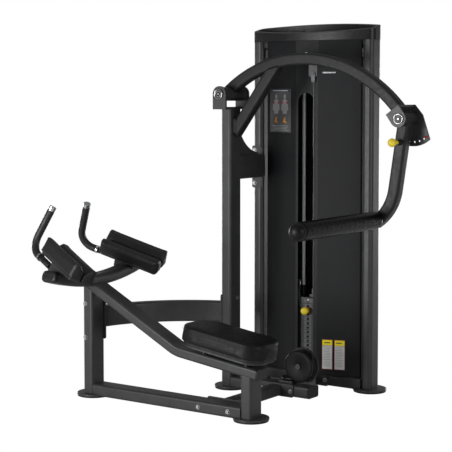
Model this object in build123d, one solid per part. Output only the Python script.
"""Kneeling glute kickback machine with forearm trough pads, a swinging roller arm and a weight-stack tower.

Millimetres. +X is behind the user, who faces -X; +Y is towards the tower; +Z is up. The pieces are laid out
about the foot of the knee post, and every one is shifted at export so that the origin is the centre of the
footprint on the floor.
"""
from build123d import *
from math import atan2, cos, degrees, radians, sin, sqrt, tan
import os

# ---- driving dimensions -------------------------------------------------------------------------------
TUBE_W, TUBE_T, TUBE_R, WALL = 100, 60, 12, 3      # main frame tube: width, thickness, corner radius, wall
RAIL_T = 52                                        # thickness of the knee rail
ARM_TUBE = 60                                      # square tube of the swinging arms
BASE_Z = 8                                         # underside of the base tubes
BASE_TOP = BASE_Z + TUBE_T
PLATE_T = 8                                        # bolted joint plates
FOOT_R, RUBBER_T, FLANGE_T = 88, 8, 10
POST_Z = RUBBER_T + FLANGE_T                       # bottom end of every post

FOREARM_POST_X = -987
CROSS_HALF = 322                                   # half the length of the curved forearm cross tube
PIVOT_X, PIVOT_Y = -511, 562                       # pivot upright; the arm swings in the plane Y = PIVOT_Y
UPRIGHT_TOP = 1482
BEAM_X = -190                                      # cross beam and tower link beam
BOLT_SPACING = 176
TOWER_X, TOWER_Y, TOWER_HALF = -201, 906, 340      # middle of the tower and half its post spacing
CAP_Z = 1843                                       # underside of the tower cap
SHROUD_Z = 70
TOP_BAR_W, TOP_BAR_Z = 39, 1780
SLOT_W, SLOT_TOP = 100, 1568

HUB_Z = 1562                                       # swing arm pivot
ARC_X, ARC_Z, ARC_R = -62, 1020, 720               # centre line of the arched arm
ADJ_ANGLE = 35.9                                   # where on that arc the adjuster pivot lies, degrees
ADJ_X = ARC_X + ARC_R * cos(radians(ADJ_ANGLE))
ADJ_Z = ARC_Z + ARC_R * sin(radians(ADJ_ANGLE))
HOLE_R, HOLE_STEP, HOLE_COUNT = 115, 13.2, 4       # holes in the sector plate
ARM_LEAN = 8.6                                     # lower arm from the vertical, degrees
ROLLER_X, ROLLER_Z, ROLLER_R = 383, 945, 44
SWING_MAX = 40                                     # travel of the swing arm, degrees

CABLE_R = 3
LOW_PULLEY = (-76, 164, 76)                        # X, Z and cable radius of the big base pulley
TURN_R, TOWER_LOW_R, TOP_R = 38, 30, 40.5          # cable radii of the other pulleys
CABLE_Z = LOW_PULLEY[1] - LOW_PULLEY[2]            # height of the cable along the base
RISE_Y, STACK_Y = 972, 891                         # rear cable run and middle of the stack
TOP_PULLEY_Z = 1690
HOOK_X, HOOK_Z = 0, 1662                           # pin that the cable shackle hangs from

PLATE_L, PLATE_D, PLATE_PITCH, PLATE_GAP = 270, 110, 23.5, 0.5
STACK_Z, LOWER_PLATES, CARRIED_PLATES = 160, 10, 2
ROD_X, ROD_R = 62, 9.5                             # guide rods
TOP_PLATE_Z = STACK_Z + (LOWER_PLATES + CARRIED_PLATES) * PLATE_PITCH
TOP_PLATE_T = 33
PIN_Z = STACK_Z + LOWER_PLATES * PLATE_PITCH + PLATE_PITCH / 2
PIN_R = 5

KNEE_SLOPE = 8.08                                  # knee pad and lower end of the knee rail, degrees
KNEE_L, KNEE_W, KNEE_T, KNEE_LIFT = 475, 262, 76, 43
PAD_L, PAD_HALF, PAD_H, PAD_VALLEY = 343, 71, 87, 49
PAD_CENTRE = (-944.6, 264, 692.8)                  # forearm pad underside, far side; the other is mirrored
PAD_YAW, PAD_PITCH, PAD_ROLL = 20.56, 19.28, 21.85
HANDLE_R, HANDLE_DROP, HANDLE_OUT, HANDLE_REACH, HANDLE_TOP = 16, 44, 18, 315, 195

nodes = {}


# ---- helpers ------------------------------------------------------------------------------------------
def block(x0, x1, y0, y1, z0, z1):
    return Pos((x0 + x1) / 2, (y0 + y1) / 2, (z0 + z1) / 2) * Box(x1 - x0, y1 - y0, z1 - z0)


def rounded(width, depth, radius):
    return RectangleRounded(width, depth, radius)


def tube(plane, width, depth, length, radius=TUBE_R, wall=WALL):
    """A rounded rectangular tube along plane.z_dir; returns the hollow tube and its solid envelope."""
    outer = extrude(plane * rounded(width, depth, radius), length)
    bore = extrude(plane * rounded(width - 2 * wall, depth - 2 * wall, radius - wall), length)
    return outer - bore, outer


def post(x, y, z0, z1, radius=TUBE_R):
    return tube(Plane((x, y, z0)), TUBE_T, TUBE_W, z1 - z0, radius)


def swept(path, width, depth, radius, wall=WALL, x_dir=(0, 1, 0)):
    """A hollow tube along a path in an XZ or XY plane; width lies along x_dir."""
    start = Plane(path @ 0, x_dir=x_dir, z_dir=path % 0)
    outer = sweep(start * rounded(width, depth, radius), path=path)
    bore = sweep(start * rounded(width - 2 * wall, depth - 2 * wall, radius - wall), path=path)
    return outer - bore, outer


def rod(start, end, radius):
    a, b = Vector(*start), Vector(*end)
    return extrude(Plane(a, z_dir=b - a) * Circle(radius), (b - a).length)


def ring(start, end, radius, bore):
    return rod(start, end, radius) - rod(start, end, bore)


def along_y(x, z, y0, y1, radius):
    return rod((x, y0, z), (x, y1, z), radius)


def plate_xz(face, y0, y1):
    """Extrudes a sketch drawn as (X, Z) between two Y planes."""
    return extrude(Plane((0, y1, 0), x_dir=(1, 0, 0), z_dir=(0, -1, 0)) * face, y1 - y0)


def plate_xy(face, z0, z1):
    return extrude(Pos(0, 0, z0) * face, z1 - z0)


def bolt_head(point, direction, radius=9, height=7):
    """A hexagon head on a washer, standing on a face."""
    p, d = Vector(*point), Vector(*direction)
    washer = extrude(Plane(p, z_dir=d) * Circle(radius * 1.35), 2)
    head = extrude(Plane(p + d * 2, z_dir=d) * RegularPolygon(radius, 6), height)
    return washer + head


def group(items):
    return Compound(children=[s for item in items for s in item.solids()])


def cut_clean(shape, *tools):
    for tool in tools:
        shape = shape - tool
    return shape


# ---- base frame ---------------------------------------------------------------------------------------
def base_frame():
    rail_plane = Plane((FOREARM_POST_X + TUBE_T / 2, 0, BASE_Z + TUBE_T / 2), x_dir=(0, 1, 0), z_dir=(1, 0, 0))
    nodes["base_rail"], rail_env = tube(rail_plane, TUBE_W, TUBE_T, -TUBE_T / 2 - (FOREARM_POST_X + TUBE_T / 2))

    bend = FilletPolyline((-1008, 0, 597.1), (-425, 0, 296.3), (57, 0, 232.4), radius=200)
    knee_rail, knee_env = swept(bend, TUBE_W, RAIL_T, TUBE_R)

    sag = 1158
    end_z = 605 + sag - sqrt(sag**2 - CROSS_HALF**2)
    cross_path = ThreePointArc((FOREARM_POST_X, -CROSS_HALF, end_z), (FOREARM_POST_X, 0, 605), (FOREARM_POST_X, CROSS_HALF, end_z))
    nodes["forearm_cross_tube"], cross_env = swept(cross_path, TUBE_W, TUBE_T, 24, x_dir=(1, 0, 0))
    nodes["knee_rail"] = knee_rail - cross_env
    forearm_post, forearm_env = post(FOREARM_POST_X, 0, POST_Z, 640)
    forearm_post = cut_clean(forearm_post, knee_env, cross_env)
    nodes["forearm_post"] = max(forearm_post.solids(), key=lambda s: s.volume)
    knee_post, knee_post_env = post(0, 0, POST_Z, 250)
    knee_post = knee_post - knee_env
    nodes["knee_post"] = min(knee_post.solids(), key=lambda s: s.center().Z)

    beam_z = BASE_Z + TUBE_T / 2
    half = TUBE_W / 2
    near0, near1 = half + PLATE_T, PIVOT_Y - half - PLATE_T
    far0, far1 = PIVOT_Y + half + PLATE_T, TOWER_Y - half - PLATE_T
    for name, y0, y1 in (("cross_beam", near0, near1), ("tower_link_beam", far0, far1)):
        plane = Plane((BEAM_X, y0, beam_z), x_dir=(1, 0, 0), z_dir=(0, 1, 0))
        nodes[name] = tube(plane, TUBE_T, TUBE_T, y1 - y0)[0]
    ends = [plate_xz(Pos(BEAM_X, beam_z + 2) * RectangleRounded(210, 66, 8), y, y + PLATE_T)
            for y in (half, near1, far0 - PLATE_T, far1)]
    nodes["beam_end_plates"] = group(ends)

    x0 = PIVOT_X + TUBE_T / 2
    plane = Plane((x0, PIVOT_Y, beam_z), x_dir=(0, 1, 0), z_dir=(1, 0, 0))
    nodes["base_tube"], base_env = tube(plane, TUBE_W, TUBE_T, -5 - x0)
    nodes["pivot_upright"] = post(PIVOT_X, PIVOT_Y, POST_Z, UPRIGHT_TOP)[0]

    bar_x = TOWER_HALF - TUBE_T / 2
    plane = Plane((TOWER_X - bar_x, TOWER_Y, beam_z), x_dir=(0, 1, 0), z_dir=(1, 0, 0))
    nodes["tower_base_bar"], bar_env = tube(plane, TUBE_W, TUBE_T, 2 * bar_x)
    top_plane = Plane((TOWER_X - bar_x, TOWER_Y, TOP_BAR_Z), x_dir=(0, 1, 0), z_dir=(1, 0, 0))
    nodes["tower_top_bar"] = tube(top_plane, TOP_BAR_W, TUBE_T, 2 * bar_x)[0]
    for name, side in (("tower_post_left", -1), ("tower_post_right", 1)):
        nodes[name] = post(TOWER_X + side * TOWER_HALF, TOWER_Y, POST_Z, CAP_Z, 22)[0]

    feet = {"knee": (0, 0), "forearm": (FOREARM_POST_X, 0), "pivot": (PIVOT_X, PIVOT_Y),
            "tower_left": (TOWER_X - TOWER_HALF, TOWER_Y), "tower_right": (TOWER_X + TOWER_HALF, TOWER_Y)}
    flanges, rubbers = [], []
    for x, y in feet.values():
        disc = fillet((Pos(x, y, RUBBER_T + FLANGE_T / 2) * Cylinder(FOOT_R, FLANGE_T)).edges().group_by(Axis.Z)[-1], 3)
        flanges.append(cut_clean(disc, rail_env, base_env, bar_env))
        rubbers.append(Pos(x, y, RUBBER_T / 2) * Cylinder(FOOT_R - 3, RUBBER_T))
    nodes["foot_flanges"] = group(flanges)
    nodes["foot_rubbers"] = group(rubbers)

    caps = [Pos(57 + 4, 0, 231.6) * Rot(0, KNEE_SLOPE, 0) * extrude(
                Plane((-3.5, 0, 0), x_dir=(0, 1, 0), z_dir=(1, 0, 0)) * rounded(TUBE_W, RAIL_T, TUBE_R), 6),
            extrude(Plane((-5, PIVOT_Y, beam_z), x_dir=(0, 1, 0), z_dir=(1, 0, 0)) * rounded(TUBE_W, TUBE_T, TUBE_R), 8)]
    for end in (0, 1):
        direction = (cross_path % end) * (1 if end else -1)
        caps.append(extrude(Plane(cross_path @ end, x_dir=(1, 0, 0), z_dir=direction) * rounded(TUBE_W, TUBE_T, 24), 22))
    caps[2], caps[3] = (fillet(c.faces().sort_by(Axis.Y)[i].edges(), 15) for c, i in ((caps[2], 0), (caps[3], -1)))
    caps[0] = caps[0] - knee_env
    nodes["tube_end_caps"] = group(caps)
    return cross_env


def side_beam():
    """The arched side beam between the forearm post and the pivot upright, with its bolted end plates."""
    heading, radius = 10, 642
    y0, x1 = TUBE_W / 2 + PLATE_T, PIVOT_X - TUBE_T / 2 - PLATE_T
    cx = FOREARM_POST_X + radius * cos(radians(heading))
    cy = y0 - radius * sin(radians(heading))

    def on_arc(angle):
        return (cx - radius * cos(radians(angle)), cy + radius * sin(radians(angle)), 405)

    path = ThreePointArc(on_arc(4), on_arc(40), on_arc(78))
    beam = swept(path, 110, TUBE_T, TUBE_R, x_dir=(0, 0, 1))[0]
    beam = beam & block(-1200, x1, y0, 700, 300, 500)
    nodes["side_beam"] = max(beam.solids(), key=lambda s: s.volume)
    near = plate_xz(Pos(FOREARM_POST_X, 395) * RectangleRounded(70, 210, 8), TUBE_W / 2, y0)
    far = extrude(Plane((x1, PIVOT_Y, 395), x_dir=(0, 1, 0), z_dir=(1, 0, 0)) * RectangleRounded(90, 210, 8), PLATE_T)
    nodes["side_beam_plates"] = group([near, far])


def tower_link():
    """The short box between the pivot upright and the left tower post, its flange and the curved gusset."""
    y0, y1 = PIVOT_Y + TUBE_W / 2, TOWER_Y - TUBE_W / 2
    link = extrude(Plane((PIVOT_X - 10, y0, 1173), x_dir=(1, 0, 0), z_dir=(0, 1, 0)) * rounded(70, 124, TUBE_R), y1 - PLATE_T - y0)
    nodes["tower_link"] = link
    nodes["tower_link_flange"] = plate_xz(
        Pos(TOWER_X - TOWER_HALF, 1166) * RectangleRounded(TUBE_T, 230, 10), y1 - PLATE_T, y1)
    with BuildSketch() as web:
        with BuildLine():
            bottom, top, reach = 1235, 1400, 200
            Line((y0, bottom), (y0 + reach, bottom))
            Line((y0 + reach, bottom), (y0 + reach, bottom + 12))
            RadiusArc((y0 + reach, bottom + 12), (y0 + 14, top), 210)
            Line((y0 + 14, top), (y0, top))
            Line((y0, top), (y0, bottom))
        make_face()
    nodes["link_gusset"] = extrude(Plane((PIVOT_X - 4, 0, 0), x_dir=(0, 1, 0), z_dir=(1, 0, 0)) * web.sketch, 8)


# ---- pivot upright head and swing arm -----------------------------------------------------------------
YOKE_Y0, YOKE_Y1, CHEEK_T = 452, 672, 12
YOKE_R, SHAFT_R, FIT = 41, 15, 0.05
YOKE2_Y0, YOKE2_Y1, CHEEK2_T = 478, 646, 10
ADJ_PLATE = (42, 54)                               # span of the second yoke's base plate along the arc tangent


def pivot_head():
    base = block(PIVOT_X - YOKE_R, PIVOT_X + YOKE_R, YOKE_Y0, YOKE_Y1, UPRIGHT_TOP, UPRIGHT_TOP + CHEEK_T)
    cheek_face = (Pos(PIVOT_X, HUB_Z) * Circle(YOKE_R)
                  + Pos(PIVOT_X, (UPRIGHT_TOP + CHEEK_T + HUB_Z) / 2) * Rectangle(2 * YOKE_R, HUB_Z - UPRIGHT_TOP - CHEEK_T)
                  - Pos(PIVOT_X, HUB_Z) * Circle(SHAFT_R + FIT))
    cheeks = [plate_xz(cheek_face, y, y + CHEEK_T) for y in (YOKE_Y0, YOKE_Y1 - CHEEK_T)]
    nodes["pivot_yoke"] = base + cheeks[0] + cheeks[1]
    nodes["pivot_shaft"] = along_y(PIVOT_X, HUB_Z, YOKE_Y0, YOKE_Y1, SHAFT_R)
    caps = []
    for y, way in ((YOKE_Y0, -1), (YOKE_Y1, 1)):
        cap = extrude(Plane((PIVOT_X, y, HUB_Z), z_dir=(0, way, 0)) * Circle(26), 8)
        cap = cap - extrude(Plane((PIVOT_X, y + way * 6, HUB_Z), z_dir=(0, way, 0)) * (Circle(21) - Circle(8)), 2)
        caps.append(cap)
    nodes["pivot_caps"] = group(caps)
    bumper = extrude(Plane((PIVOT_X + TUBE_T / 2, PIVOT_Y, 1395), x_dir=(0, 1, 0), z_dir=(1, 0, 0))
                     * RectangleRounded(56, 96, 20), 18)
    nodes["stop_bumper"] = bumper


def hub(x, z, y0, y1, radius, bore, bearing_w=16):
    """A hub tube with a bearing let into each end."""
    body = along_y(x, z, y0, y1, radius) - along_y(x, z, y0, y1, bore + 2)
    seats = [(y0, y0 + bearing_w), (y1 - bearing_w, y1)]
    for a, b in seats:
        body = body - along_y(x, z, a, b, bore + 8.05)
    bearings = [ring((x, a, z), (x, b, z), bore + 8, bore) for a, b in seats]
    return body, bearings


def tangent_plane(distance):
    """A plane square to the arched arm's centre line, that far up the arm from the adjuster pivot."""
    a = radians(ADJ_ANGLE)
    t = Vector(-sin(a), 0, cos(a))
    return Plane(Vector(ADJ_X, PIVOT_Y, ADJ_Z) + t * distance, x_dir=(0, 1, 0), z_dir=t)


def swing_arm():
    hub_env = along_y(PIVOT_X, HUB_Z, YOKE_Y0 + CHEEK_T, YOKE_Y1 - CHEEK_T, 36)
    nodes["arm_hub"], bearings = hub(PIVOT_X, HUB_Z, YOKE_Y0 + CHEEK_T + 2, YOKE_Y1 - CHEEK_T - 2, 36, SHAFT_R + FIT)
    nodes["arm_bearings"] = group(bearings)

    def on_arc(angle):
        return (ARC_X + ARC_R * cos(radians(angle)), PIVOT_Y, ARC_Z + ARC_R * sin(radians(angle)))

    start = degrees(atan2(HUB_Z - ARC_Z, PIVOT_X - ARC_X))
    path = ThreePointArc(on_arc(start), on_arc(85), on_arc(ADJ_ANGLE + 1))
    arc, arc_env = swept(path, ARM_TUBE, ARM_TUBE, TUBE_R)
    beyond = extrude(tangent_plane(ADJ_PLATE[1]) * Rectangle(300, 400), -200)
    arc = cut_clean(arc, hub_env, beyond)
    nodes["arched_arm"] = max(arc.solids(), key=lambda s: s.volume)

    top, low = Vector(-211.6, PIVOT_Y, 1724.3), Vector(-458, PIVOT_Y, 1390.6)
    along = (low - top).normalized()
    face_x = PIVOT_X + TUBE_T / 2 + 18.5
    plane = Plane(top, x_dir=(0, 1, 0), z_dir=along)
    brace = tube(plane, ARM_TUBE, ARM_TUBE, 560)[0]
    brace = cut_clean(brace, arc_env, block(-900, face_x + 6, 400, 700, 1100, 1600))
    nodes["arm_brace"] = max(brace.solids(), key=lambda s: s.volume)
    foot_z = low.Z + (face_x + 3 - low.X) * along.Z / along.X
    nodes["brace_foot"] = extrude(Plane((face_x, PIVOT_Y, foot_z), x_dir=(0, 1, 0), z_dir=(1, 0, 0))
                                  * RectangleRounded(60, 100, 24), 6)

    ear = plate_xz(Pos(HOOK_X - 4, HOOK_Z + 20) * RectangleRounded(50, 64, 6)
                   - Pos(HOOK_X, HOOK_Z) * Circle(5.3), PIVOT_Y - 5, PIVOT_Y + 5)
    nodes["cable_ear"] = ear - arc_env
    sides = [plate_xz(Pos(HOOK_X, HOOK_Z - 12) * RectangleRounded(22, 46, 9) - Pos(HOOK_X, HOOK_Z) * Circle(5.05), y, y + 5)
             for y in (PIVOT_Y - 11, PIVOT_Y + 6)]
    bridge = block(HOOK_X - 10, HOOK_X + 10, PIVOT_Y - 11, PIVOT_Y + 11, HOOK_Z - 40, HOOK_Z - 30)
    shackle = sides[0] + sides[1] + bridge + along_y(HOOK_X, HOOK_Z, PIVOT_Y - 14, PIVOT_Y + 14, 5)
    nodes["cable_shackle"] = shackle

    # second yoke: base plate and near cheek; the far cheek is the sector plate
    lo, hi = ADJ_PLATE
    base = extrude(tangent_plane(lo) * (Pos((YOKE2_Y0 + YOKE2_Y1) / 2 - PIVOT_Y, 0) * Rectangle(YOKE2_Y1 - YOKE2_Y0, 2 * YOKE_R)), hi - lo)
    a = radians(ADJ_ANGLE)
    link = (Pos(ADJ_X - sin(a) * lo / 2, ADJ_Z + cos(a) * lo / 2) * Rot(0, 0, ADJ_ANGLE) * Rectangle(2 * YOKE_R, lo))
    near = plate_xz(Pos(ADJ_X, ADJ_Z) * Circle(YOKE_R) + link - Pos(ADJ_X, ADJ_Z) * Circle(SHAFT_R + FIT),
                    YOKE2_Y0, YOKE2_Y0 + CHEEK2_T)
    nodes["arm_yoke"] = base + near

    def at(angle, radius):
        return (ADJ_X + radius * sin(radians(angle)), ADJ_Z - radius * cos(radians(angle)))

    rim = 136
    with BuildSketch() as fan:
        with BuildLine():
            ThreePointArc(at(-18, rim), at(12, rim), at(42, rim))
            Polyline(at(42, rim), (ADJ_X + 51, ADJ_Z + 18), (ADJ_X + 8, ADJ_Z + 68), (ADJ_X - 32, ADJ_Z + 60),
                     (ADJ_X - 42, ADJ_Z + 16), at(-18, rim))
        make_face()
        fillet(fan.sketch.vertices(), 9)
    holes = [Pos(*at(-ARM_LEAN + i * HOLE_STEP, HOLE_R)) * Circle(5.5) for i in range(HOLE_COUNT)]
    face = fan.sketch - Pos(ADJ_X, ADJ_Z) * Circle(SHAFT_R + FIT)
    for hole in holes:
        face = face - hole
    sector = plate_xz(face, YOKE2_Y1 - CHEEK2_T, YOKE2_Y1) - base
    nodes["sector_plate"] = max(sector.solids(), key=lambda s: s.volume)
    nodes["adjuster_shaft"] = along_y(ADJ_X, ADJ_Z, YOKE2_Y0, YOKE2_Y1, SHAFT_R)
    caps = []
    for y, way in ((YOKE2_Y0, -1), (YOKE2_Y1, 1)):
        cap = extrude(Plane((ADJ_X, y, ADJ_Z), z_dir=(0, way, 0)) * Circle(25), 7)
        caps.append(cap - extrude(Plane((ADJ_X, y + way * 5, ADJ_Z), z_dir=(0, way, 0)) * (Circle(20) - Circle(7)), 2))
    nodes["adjuster_caps"] = group(caps)


def lower_arm():
    y0, y1 = YOKE2_Y0 + CHEEK2_T + 2, YOKE2_Y1 - CHEEK2_T - 2
    nodes["lower_arm_hub"], bearings = hub(ADJ_X, ADJ_Z, y0, y1, 33, SHAFT_R + FIT)
    nodes["lower_arm_bearings"] = group(bearings)
    hub_env = along_y(ADJ_X, ADJ_Z, y0, y1, 33)
    lean, end, bend = radians(ARM_LEAN), radians(53), 242
    # the straight stretch ends where the bend, followed backwards from the roller, meets it
    corner = bend * tan((end - lean) / 2)
    past = 28
    tip = Vector(ROLLER_X - past * sin(end), PIVOT_Y, ROLLER_Z - past * cos(end))
    run = (tan(lean) * (ADJ_Z - ROLLER_Z) - (ADJ_X - ROLLER_X)) / (tan(lean) * cos(end) - sin(end))
    knee = Vector(ROLLER_X + run * sin(end), PIVOT_Y, ROLLER_Z + run * cos(end))
    path = FilletPolyline((ADJ_X, PIVOT_Y, ADJ_Z), knee, tip, radius=min(bend, (run + past) / tan((end - lean) / 2) * 0.98))
    arm, arm_env = swept(path, ARM_TUBE, ARM_TUBE, TUBE_R)
    pin_x = ADJ_X - HOLE_R * sin(lean)
    pin_z = ADJ_Z - HOLE_R * cos(lean)
    sleeve_env = along_y(pin_x, pin_z, 500, 634, 12)
    arm = cut_clean(arm, hub_env, sleeve_env, along_y(ROLLER_X, ROLLER_Z, 500, 620, 12.5))
    nodes["lower_arm"] = max(arm.solids(), key=lambda s: s.volume)
    cap = extrude(Plane(tip, x_dir=(0, 1, 0), z_dir=path % 1) * rounded(ARM_TUBE, ARM_TUBE, TUBE_R), 6)
    nodes["lower_arm_cap"] = fillet(cap.faces().sort_by(Axis(tip, path % 1))[-1].edges(), 4)
    nodes["pull_pin_sleeve"] = ring((pin_x, 512, pin_z), (pin_x, 632, pin_z), 12, 6.4)
    plunger = along_y(pin_x, pin_z, 486, 635.5, 6)
    plunger = plunger + along_y(pin_x, pin_z, 474, 486, 4.5)
    nodes["pull_pin"] = plunger
    knob = Pos(pin_x, 456, pin_z) * Sphere(21) + along_y(pin_x, pin_z, 470, 504, 10.5)
    knob = fillet(knob.edges().group_by(Axis.Y)[-1], 2)
    nodes["pull_pin_knob"] = knob - plunger
    nodes["roller_axle"] = along_y(ROLLER_X, ROLLER_Z, -205, 592, 12.5)

    near, far = -190, 515
    nodes["roller_core"] = ring((ROLLER_X, near, ROLLER_Z), (ROLLER_X, far, ROLLER_Z), 19, 12.6)
    nodes["roller_pad"] = ring((ROLLER_X, near, ROLLER_Z), (ROLLER_X, far, ROLLER_Z), ROLLER_R, 19)
    dome = extrude(Plane((ROLLER_X, near, ROLLER_Z), z_dir=(0, -1, 0)) * Circle(40), 32)
    dome = fillet(dome.edges().group_by(Axis.Y)[0], 26)
    dome = dome - along_y(ROLLER_X, ROLLER_Z, -206, near, 12.9)
    collar = ring((ROLLER_X, far, ROLLER_Z), (ROLLER_X, far + 14, ROLLER_Z), 38, 12.6)
    nodes["roller_end_caps"] = group([dome, fillet(collar.edges().group_by(Axis.Y)[-1].sort_by(SortBy.LENGTH)[-1], 8)])


# ---- forearm station ----------------------------------------------------------------------------------
def pad_plane(side):
    """Plane of the forearm pads' underside: x along the pad to the front, y outwards, z out of the pad."""
    yaw, pitch, roll = (radians(v) for v in (PAD_YAW, PAD_PITCH, PAD_ROLL))
    front = Vector(-cos(pitch) * cos(yaw), -side * cos(pitch) * sin(yaw), sin(pitch))
    level = Vector(-sin(yaw), side * cos(yaw), 0)
    up = front.cross(level) * -side
    normal = up * cos(roll) - level * sin(roll)
    x, y, z = PAD_CENTRE
    return Plane((x, side * y, z), x_dir=front, z_dir=normal)


def forearm_station(cross_env):
    for side, name in ((1, "right"), (-1, "left")):
        plane = pad_plane(side)
        out = -side                                # the plane's own y axis points inwards on the far side

        def in_plane(*points):
            return [plane.from_local_coords(Vector(f, out * w, n)) for f, w, n in points]

        section = Plane(plane.from_local_coords(Vector(-PAD_L / 2, 0, 0)), x_dir=plane.y_dir * out, z_dir=plane.x_dir)
        flip = 1 if section.y_dir.dot(plane.z_dir) > 0 else -1

        def profile(*points):
            return make_face(Polyline(*[(w, flip * n) for w, n in points], close=True))

        outer = extrude(section * profile((1, 0), (PAD_HALF, 0), (PAD_HALF, PAD_H), (PAD_HALF - 26, PAD_H), (1, PAD_VALLEY)), PAD_L)
        inner = extrude(section * profile((-PAD_HALF, 0), (-1, 0), (-1, PAD_VALLEY - 6), (-PAD_HALF + 34, PAD_H - 7),
                                          (-PAD_HALF, PAD_H - 7)), PAD_L)
        along = Axis((0, 0, 0), tuple(section.z_dir))
        nodes[f"outer_arm_pad_{name}"] = fillet(outer.edges().filter_by(along), 6)
        nodes[f"inner_arm_pad_{name}"] = fillet(inner.edges().filter_by(along), 6)
        board = extrude(plane * RectangleRounded(PAD_L - 24, 2 * PAD_HALF - 16, 10), -6)
        nodes[f"arm_pad_plate_{name}"] = board
        bracket = extrude(Plane(plane.from_local_coords(Vector(30, 0, -6)), x_dir=plane.x_dir, z_dir=plane.z_dir * -1)
                          * Rectangle(110, 56), 62)
        bracket = bracket - cross_env
        nodes[f"arm_pad_bracket_{name}"] = max(bracket.solids(), key=lambda s: (plane.to_local_coords(s.center()).Z, s.volume))

        bend = 78
        w, n = HANDLE_OUT, -HANDLE_DROP
        path = FilletPolyline(*in_plane((98, w, n), (HANDLE_REACH, w, n), (HANDLE_REACH, w + 6, HANDLE_TOP)), radius=bend)
        steel = sweep(Plane(path @ 0, z_dir=path % 0) * Circle(HANDLE_R), path=path)
        bore = sweep(Plane(path @ 0, z_dir=path % 0) * Circle(HANDLE_R - 2.5), path=path)
        steel = cut_clean(steel, cross_env)
        steel = max(steel.solids(), key=lambda s: s.volume) - bore
        nodes[f"handle_{name}"] = max(steel.solids(), key=lambda s: s.volume)
        grip_path = FilletPolyline(*in_plane((216, w, n), (HANDLE_REACH, w, n),
                                             (HANDLE_REACH, w + 6 * 0.93, n + (HANDLE_TOP - n) * 0.93)), radius=bend)
        start = Plane(grip_path @ 0, z_dir=grip_path % 0)
        grip = sweep(start * Circle(19.5), path=grip_path) - sweep(start * Circle(HANDLE_R + 0.02), path=grip_path)
        nodes[f"grip_{name}"] = grip
        tip, way = path @ 1, path % 1
        cap = extrude(Plane(tip, z_dir=way) * Circle(19.5), 7)
        band = extrude(Plane(tip, z_dir=way * -1) * (Circle(19.5) - Circle(HANDLE_R + 0.02)), 15)
        foot = path @ 0 + (path % 0) * (216 - 98 - 1)
        collar = extrude(Plane(foot, z_dir=(path % 0) * -1) * (Circle(21) - Circle(HANDLE_R + 0.02)), 12)
        nodes[f"handle_trim_{name}"] = group([cap, band, collar])


def knee_station():
    rail_top_x = -132
    centre_z = 240.5 - 0.142 * rail_top_x + RAIL_T / 2 / cos(radians(KNEE_SLOPE))
    local = Location((rail_top_x, 0, centre_z), (0, KNEE_SLOPE, 0))
    pad = extrude(Pos(0, 0, KNEE_LIFT) * RectangleRounded(KNEE_L, KNEE_W, 96), KNEE_T)
    pad = fillet(pad.edges().group_by(Axis.Z)[-1], 12)
    nodes["knee_pad"] = local * pad
    nodes["knee_pad_board"] = local * extrude(Pos(0, 0, KNEE_LIFT - 12) * RectangleRounded(KNEE_L - 30, KNEE_W - 30, 82), 12)
    brackets = []
    for x in (-120, 130):
        top = Pos(x, 0, KNEE_LIFT - 15) * Box(60, 190, 6)
        web = Pos(x, 0, (KNEE_LIFT - 18) / 2) * Box(8, 90, KNEE_LIFT - 18)
        brackets.append(local * (top + web))
    nodes["knee_pad_brackets"] = group(brackets)


# ---- tower --------------------------------------------------------------------------------------------
def shroud_face(mirror):
    """Plan of a folded sheet cover: a flat middle, two swept-back wings and short returns."""
    points = [(-296, 905), (-296, 884), (-67, 811), (67, 811), (296, 884), (296, 905)]
    if mirror:
        points = [(x, 2 * TOWER_Y - y) for x, y in points]
    points = [(TOWER_X + x, y) for x, y in points]
    line = FilletPolyline(*points, radius=[10, 30, 30, 10])
    closed = make_face(line.edges() + [Line(points[-1], points[0])])
    inner = offset(closed, -2)
    way = -1 if mirror else 1
    strip = Pos(TOWER_X, points[0][1] - way * 1) * Rectangle(700, 8)
    return closed - inner - strip


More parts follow.
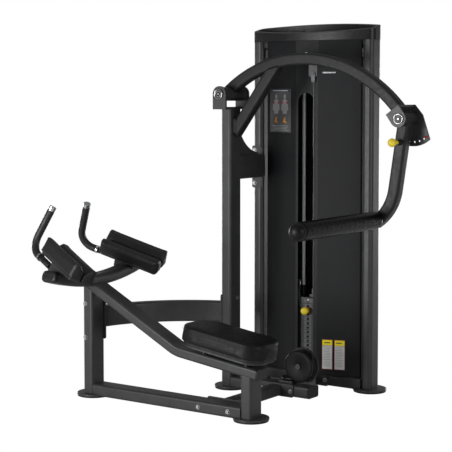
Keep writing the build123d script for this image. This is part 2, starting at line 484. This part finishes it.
def tower_covers():
    front = plate_xy(shroud_face(False), SHROUD_Z, CAP_Z)
    slot = plate_xz(Pos(TOWER_X, (SHROUD_Z - 20 + SLOT_TOP - SLOT_W / 2) / 2) * Rectangle(SLOT_W, SLOT_TOP - SLOT_W / 2 - SHROUD_Z + 20)
                    + Pos(TOWER_X, SLOT_TOP - SLOT_W / 2) * Circle(SLOT_W / 2), 790, 840)
    bar_y, bar_z = TOP_BAR_W / 2 + 0.5, TUBE_T / 2 + 0.5
    bar = block(TOWER_X - 310, TOWER_X + 310, TOWER_Y - bar_y, TOWER_Y + bar_y, TOP_BAR_Z - bar_z, TOP_BAR_Z + bar_z)
    nodes["front_shroud"] = front - slot - bar
    nodes["rear_shroud"] = plate_xy(shroud_face(True), SHROUD_Z, CAP_Z) - bar

    half, front_y, end_y = 375, 786, 862
    back_y, last_y = 2 * TOWER_Y - front_y, 2 * TOWER_Y - end_y
    left, right = TOWER_X - half, TOWER_X + half
    lens = make_face([ThreePointArc((left, end_y), (TOWER_X, front_y), (right, end_y)), Line((right, end_y), (right, last_y)),
                      ThreePointArc((right, last_y), (TOWER_X, back_y), (left, last_y)), Line((left, last_y), (left, end_y))])
    outer = fillet(lens.vertices(), 38)
    cap = plate_xy(outer, CAP_Z, CAP_Z + 120)
    dish = plate_xy(offset(outer, -24), CAP_Z + 14, CAP_Z + 130)
    slope = degrees(atan2(0.237, 1))
    cutter = Pos(TOWER_X, 790, 1883) * Rot(slope, 0, 0) * Pos(0, 150, 150) * Box(1200, 900, 300)
    cap = cap - dish - cutter
    nodes["tower_cap"] = cap

    wing = atan2(73, 229)
    left = Location((TOWER_X - 67, 811, 0), (0, 0, -degrees(wing)))
    right = Location((TOWER_X + 67, 811, 0), (0, 0, degrees(wing)))
    nodes["exercise_placard"] = left * block(-212, -37, -1.5, -0.05, 1357, 1589)
    nodes["caution_labels"] = group([right * block(x, x + 58, -1, -0.05, 103, 263) for x in (32, 99)])


def weight_plate(z, thickness):
    """A stack plate with rod holes, a selector hole and a pin hole in its front edge."""
    plate = Pos(TOWER_X, STACK_Y, z + thickness / 2) * Box(PLATE_L, PLATE_D, thickness)
    plate = chamfer(plate.edges().filter_by(Axis.Z), 8)
    for x in (-ROD_X, ROD_X):
        plate = plate - Pos(TOWER_X + x, STACK_Y, z + thickness / 2) * Cylinder(ROD_R + 1.5, thickness)
    return plate - Pos(TOWER_X, STACK_Y, z + thickness / 2) * Cylinder(13.5, thickness)


def weight_stack():
    thickness = PLATE_PITCH - PLATE_GAP
    lower, carried = [], []
    for i in range(LOWER_PLATES + CARRIED_PLATES):
        z = STACK_Z + i * PLATE_PITCH
        hole = rod((TOWER_X, STACK_Y - PLATE_D / 2 - 1, z + PLATE_PITCH / 2), (TOWER_X, STACK_Y, z + PLATE_PITCH / 2), PIN_R + 0.5)
        (lower if i < LOWER_PLATES else carried).append(weight_plate(z, thickness) - hole)
    nodes["lower_weight_plates"] = group(lower)
    nodes["carried_weight_plates"] = group(carried)
    top = weight_plate(TOP_PLATE_Z, TOP_PLATE_T)
    nodes["top_weight_plate"] = top
    column = rod((TOWER_X, STACK_Y, STACK_Z + 4), (TOWER_X, STACK_Y, TOP_PLATE_Z + TOP_PLATE_T + 40), 12)
    for i in range(LOWER_PLATES + CARRIED_PLATES):
        z = STACK_Z + i * PLATE_PITCH + PLATE_PITCH / 2
        column = column - rod((TOWER_X, STACK_Y - 13, z), (TOWER_X, STACK_Y + 13, z), PIN_R + 0.5)
    nodes["selector_column"] = column
    head_z = TOP_PLATE_Z + TOP_PLATE_T
    nodes["selector_nut"] = (extrude(Plane((TOWER_X, STACK_Y, head_z)) * RegularPolygon(24, 6), 14)
                             - rod((TOWER_X, STACK_Y, head_z), (TOWER_X, STACK_Y, head_z + 14), 12.02))
    rod_top = 1750
    nodes["guide_rods"] = group([rod((TOWER_X + x, STACK_Y, BASE_TOP), (TOWER_X + x, STACK_Y, rod_top), ROD_R)
                                 for x in (-ROD_X, ROD_X)])
    nodes["stack_cushions"] = group([ring((TOWER_X + x, STACK_Y, BASE_TOP), (TOWER_X + x, STACK_Y, STACK_Z - 0.5), 22, ROD_R + 0.1)
                                     for x in (-ROD_X, ROD_X)])
    nodes["guide_bushings"] = group([ring((TOWER_X + x, STACK_Y, head_z), (TOWER_X + x, STACK_Y, head_z + 58), 15, ROD_R + 0.3)
                                     for x in (-ROD_X, ROD_X)])

    front = STACK_Y - PLATE_D / 2
    nodes["selector_pin"] = rod((TOWER_X, front - 14, PIN_Z), (TOWER_X, STACK_Y + 12, PIN_Z), PIN_R)
    knob = Pos(TOWER_X, front - 34, PIN_Z) * Sphere(21) + rod((TOWER_X, front - 22, PIN_Z), (TOWER_X, front - 3, PIN_Z), 12)
    knob = knob - rod((TOWER_X, front - 14, PIN_Z), (TOWER_X, front, PIN_Z), PIN_R)
    nodes["selector_knob"] = fillet(knob.edges().filter_by(lambda e: e.radius == 12 if e.geom_type == GeomType.CIRCLE else False)
                                    .group_by(Axis.Y)[-1], 1.5)
    # the lanyard hangs in a ring on a strip that stands on the top plate
    strip_x, strip_top = TOWER_X - 58, head_z + 96
    strip = block(strip_x - 9, strip_x + 9, front - 3, front, TOP_PLATE_Z + 6, strip_top)
    hook_z, ring_r, wire_r = strip_top - 9, 15.2, 1.3
    nodes["lanyard_strip"] = strip + along_y(strip_x, hook_z, front - 10, front - 3, 2.5)
    ring_z = hook_z + 2.4 - (ring_r - wire_r)
    nodes["lanyard_ring"] = Location((strip_x, front - 6.5, ring_z)) * Rot(90, 0, 0) * Torus(ring_r, wire_r)
    return strip_x, front, ring_z - ring_r - wire_r


def pulley(centre, axis, cable_radius, rim, width, bore):
    """A grooved pulley: the cable lies in a V groove and clears it by half a millimetre."""
    gap = CABLE_R + 0.5
    floor = cable_radius - gap
    with BuildSketch() as section:
        with BuildLine():
            Polyline((bore, -width / 2), (rim, -width / 2), (rim, -gap - 2), (floor, -gap), (floor, gap),
                     (rim, gap + 2), (rim, width / 2), (bore, width / 2), (bore, -width / 2))
        make_face()
    turned = revolve(Plane.XZ * section.sketch, Axis.Z)
    return Plane(centre, z_dir=axis) * turned


def pulleys():
    x, z, r = LOW_PULLEY
    centre = (x, PIVOT_Y, z)
    wheel = pulley(centre, (0, -1, 0), r, 83, 40, 10.06)
    dish = extrude(Plane((x, PIVOT_Y - 20, z), z_dir=(0, 1, 0)) * (Circle(66) - Circle(26)), 5)
    nodes["low_pulley"] = wheel - dish
    far = PIVOT_Y + 24
    guard = plate_xz(Pos(x, z) * Circle(92) + Pos(x, (z + BASE_TOP) / 2) * Rectangle(150, z - BASE_TOP), far, far + 8)
    guard = guard - block(-400, 400, far - 1, far + 9, 0, BASE_TOP) - block(-400, -112, far - 1, far + 9, 0, CABLE_Z + 14)
    nodes["low_pulley_bracket"] = guard
    axle = along_y(x, z, PIVOT_Y - 22, far, 10)
    nodes["low_pulley_axle"] = axle + along_y(x, z, PIVOT_Y - 27, PIVOT_Y - 22, 14)

    tx, ty = TOWER_X + TURN_R, PIVOT_Y + TURN_R
    nodes["turn_pulley"] = pulley((tx, ty, CABLE_Z), (0, 0, 1), TURN_R, 43, 12, 6.06)
    base = block(tx - 40, tx + 40, ty - 44, ty + 44, BASE_TOP, BASE_TOP + 10)
    plate_y = PIVOT_Y + TUBE_W / 2
    base = base - block(BEAM_X - 110, BEAM_X + 110, plate_y - 1, plate_y + PLATE_T + 1, BASE_TOP, BASE_TOP + 6)
    spindle = rod((tx, ty, BASE_TOP + 10), (tx, ty, CABLE_Z + 9), 6) + rod((tx, ty, CABLE_Z + 7), (tx, ty, CABLE_Z + 13), 11)
    nodes["turn_pulley_mount"] = base + spindle

    y2, z2 = RISE_Y - TOWER_LOW_R, CABLE_Z + TOWER_LOW_R
    nodes["tower_low_pulley"] = pulley((TOWER_X, y2, z2), (1, 0, 0), TOWER_LOW_R, 35, 18, 6.06)
    cheeks = [block(TOWER_X + s * 15 - 2.5, TOWER_X + s * 15 + 2.5, y2 - 20, y2 + 14, BASE_TOP, z2 + 16) for s in (-1, 1)]
    pin = rod((TOWER_X - 19, y2, z2), (TOWER_X + 19, y2, z2), 6)
    nodes["tower_low_bracket"] = cheeks[0] + cheeks[1] + pin

    y3 = (RISE_Y + STACK_Y) / 2
    nodes["top_pulley"] = pulley((TOWER_X, y3, TOP_PULLEY_Z), (1, 0, 0), TOP_R, 47, 18, 6.06)
    cheeks = [block(TOWER_X + s * 15 - 2.5, TOWER_X + s * 15 + 2.5, y3 - 18, y3 + 14, TOP_PULLEY_Z - 16, 1750) for s in (-1, 1)]
    pin = rod((TOWER_X - 19, y3, TOP_PULLEY_Z), (TOWER_X + 19, y3, TOP_PULLEY_Z), 6)
    nodes["top_pulley_bracket"] = cheeks[0] + cheeks[1] + pin


def quarter(centre, start, end):
    """The arc from start to end about centre, all in one plane, as a three-point arc."""
    c, a, b = Vector(*centre), Vector(*start), Vector(*end)
    middle = c + ((a - c) + (b - c)).normalized() * (a - c).length
    return ThreePointArc(a, middle, b)


def cables(lanyard):
    x, z, r = LOW_PULLEY
    y = PIVOT_Y
    tx, ty = TOWER_X + TURN_R, y + TURN_R
    y2, z2 = RISE_Y - TOWER_LOW_R, CABLE_Z + TOWER_LOW_R
    y3 = (RISE_Y + STACK_Y) / 2
    edges = [
        quarter((x, y, z), (x + r, y, z), (x, y, z - r)),
        Line((x, y, CABLE_Z), (tx, y, CABLE_Z)),
        quarter((tx, ty, CABLE_Z), (tx, y, CABLE_Z), (TOWER_X, ty, CABLE_Z)),
        Line((TOWER_X, ty, CABLE_Z), (TOWER_X, y2, CABLE_Z)),
        quarter((TOWER_X, y2, z2), (TOWER_X, y2, CABLE_Z), (TOWER_X, RISE_Y, z2)),
        Line((TOWER_X, RISE_Y, z2), (TOWER_X, RISE_Y, TOP_PULLEY_Z)),
        quarter((TOWER_X, y3, TOP_PULLEY_Z), (TOWER_X, RISE_Y, TOP_PULLEY_Z), (TOWER_X, y3, TOP_PULLEY_Z + TOP_R)),
        quarter((TOWER_X, y3, TOP_PULLEY_Z), (TOWER_X, y3, TOP_PULLEY_Z + TOP_R), (TOWER_X, STACK_Y, TOP_PULLEY_Z)),
    ]
    path = Wire([e.edge() for e in edges])
    nodes["lift_cable_base"] = sweep(Plane((x + r, y, z), z_dir=(0, 0, -1)) * Circle(CABLE_R), path=path)
    column_top = TOP_PLATE_Z + TOP_PLATE_T + 40
    nodes["lift_cable_stack"] = rod((TOWER_X, STACK_Y, column_top), (TOWER_X, STACK_Y, TOP_PULLEY_Z), CABLE_R)
    nodes["lift_cable_front"] = rod((x + r, y, z + 0.6), (x + r, y, 1600), 2.5)
    sheath = ring((x + r, y, 1240), (x + r, y, HOOK_Z - 48), 3.9, 2.85)
    nodes["cable_sheath"] = sheath + rod((x + r, y, HOOK_Z - 48), (x + r, y, HOOK_Z - 41), 3.9)

    strip_x, front, ring_foot = lanyard
    top = ring_foot - 0.1
    knob_y = front - 9.5
    route = [(strip_x, front - 6.5, top), (strip_x + 1.5, front - 7.5, top - 22), (strip_x + 0.5, front - 8.5, top - 46),
             (strip_x + 3.5, front - 9, top - 70), (strip_x + 12, knob_y, top - 93), (strip_x + 27, knob_y, PIN_Z + 7),
             (TOWER_X - 12.8, knob_y, PIN_Z + 1)]
    runs = [(Vector(*b) - Vector(*a)) for a, b in zip(route, route[1:])]
    radii = [0.45 * min(p.length, q.length) / tan(radians(p.get_angle(q)) / 2) for p, q in zip(runs, runs[1:])]
    print("lanyard radii", [round(v, 1) for v in radii], "length", round(sum(v.length for v in runs), 1))
    line = FilletPolyline(*route, radius=radii)
    nodes["lanyard_cord"] = sweep(Plane(line @ 0, z_dir=line % 0) * Circle(1.5), path=line)


def fasteners():
    half, beam_z = TUBE_W / 2, BASE_Z + TUBE_T / 2
    bolts = []
    for s in (-1, 1):
        bx = BEAM_X + s * BOLT_SPACING / 2
        bolts.append(bolt_head((bx, -half, beam_z), (0, -1, 0)))
        bolts.append(bolt_head((bx, PIVOT_Y - half - PLATE_T, beam_z), (0, -1, 0)))
        bolts.append(bolt_head((bx, TOWER_Y - half - PLATE_T, beam_z), (0, -1, 0)))
        bolts.append(bolt_head((FOREARM_POST_X - 13, -half, 395 + s * BOLT_SPACING / 2), (0, -1, 0)))
        bolts.append(bolt_head((PIVOT_X + TUBE_T / 2, PIVOT_Y + 12, 395 + s * BOLT_SPACING / 2), (1, 0, 0)))
        bolts.append(bolt_head((TOWER_X - TOWER_HALF - 14, TOWER_Y - half - PLATE_T, 1166 + s * 90), (0, -1, 0)))
    nodes["frame_bolts"] = group(bolts)
    nodes["shroud_screw"] = rod((TOWER_X, 811.0, 1776), (TOWER_X, 806, 1776), 6)


def build():
    cross_env = base_frame()
    side_beam()
    tower_link()
    pivot_head()
    swing_arm()
    lower_arm()
    forearm_station(cross_env)
    knee_station()
    tower_covers()
    lanyard = weight_stack()
    pulleys()
    cables(lanyard)
    fasteners()


# pieces that share a body and a finish are grouped, each still its own solid
GROUPS = {
    "base_tubes": ("base_rail", "base_tube", "cross_beam", "tower_link_beam"),
    "rail_posts": ("forearm_post", "knee_post"),
    "tower_frame": ("tower_post_left", "tower_post_right", "tower_base_bar", "tower_top_bar"),
    "joint_plates": ("beam_end_plates", "side_beam_plates", "tower_link_flange"),
    "tower_link": ("tower_link", "link_gusset"),
    "pivot_upright": ("pivot_upright", "pivot_yoke"),
    "pivot_shaft": ("pivot_shaft", "pivot_caps"),
    "adjuster_shaft": ("adjuster_shaft", "adjuster_caps"),
    "arm_hub": ("arm_hub", "arm_bearings"),
    "arm_brace": ("arm_brace", "brace_foot"),
    "arm_brackets": ("cable_ear", "arm_yoke"),
    "lower_arm": ("lower_arm", "lower_arm_hub", "lower_arm_bearings", "pull_pin_sleeve", "lower_arm_cap"),
    "roller_core": ("roller_core", "roller_end_caps"),
    "outer_arm_pads": ("outer_arm_pad_left", "outer_arm_pad_right"),
    "inner_arm_pads": ("inner_arm_pad_left", "inner_arm_pad_right"),
    "arm_pad_mounts": ("arm_pad_plate_left", "arm_pad_plate_right", "arm_pad_bracket_left", "arm_pad_bracket_right"),
    "handles": ("handle_left", "handle_right", "handle_trim_left", "handle_trim_right"),
    "hand_grips": ("grip_left", "grip_right"),
    "knee_pad_base": ("knee_pad_board", "knee_pad_brackets"),
    "placards": ("exercise_placard", "caution_labels"),
    "carried_weight_plates": ("carried_weight_plates", "top_weight_plate"),
    "selector_column": ("selector_column", "selector_nut"),
    "lanyard_ring": ("lanyard_strip", "lanyard_ring"),
    "rubber_stops": ("stack_cushions", "stop_bumper"),
    "base_pulley_brackets": ("low_pulley_bracket", "turn_pulley_mount"),
    "tower_pulley_brackets": ("tower_low_bracket", "top_pulley_bracket"),
    "frame_bolts": ("frame_bolts", "shroud_screw"),
}

build()
for whole, pieces in GROUPS.items():
    nodes[whole] = group([nodes.pop(piece) for piece in pieces])
box = Compound(children=[s.copy() if hasattr(s, "copy") else s for n in nodes.values() for s in n.solids()]).bounding_box()
SHIFT = (-(box.min.X + box.max.X) / 2, -(box.min.Y + box.max.Y) / 2, -box.min.Z)
if __name__ == "__main__":
    os.makedirs("parts", exist_ok=True)
    for node, shape in nodes.items():
        export_step(Pos(*SHIFT) * shape, f"parts/{node}.step")
    print(len(nodes), "nodes; size", [round(v, 1) for v in tuple(box.size)], "shift", [round(v, 3) for v in SHIFT])
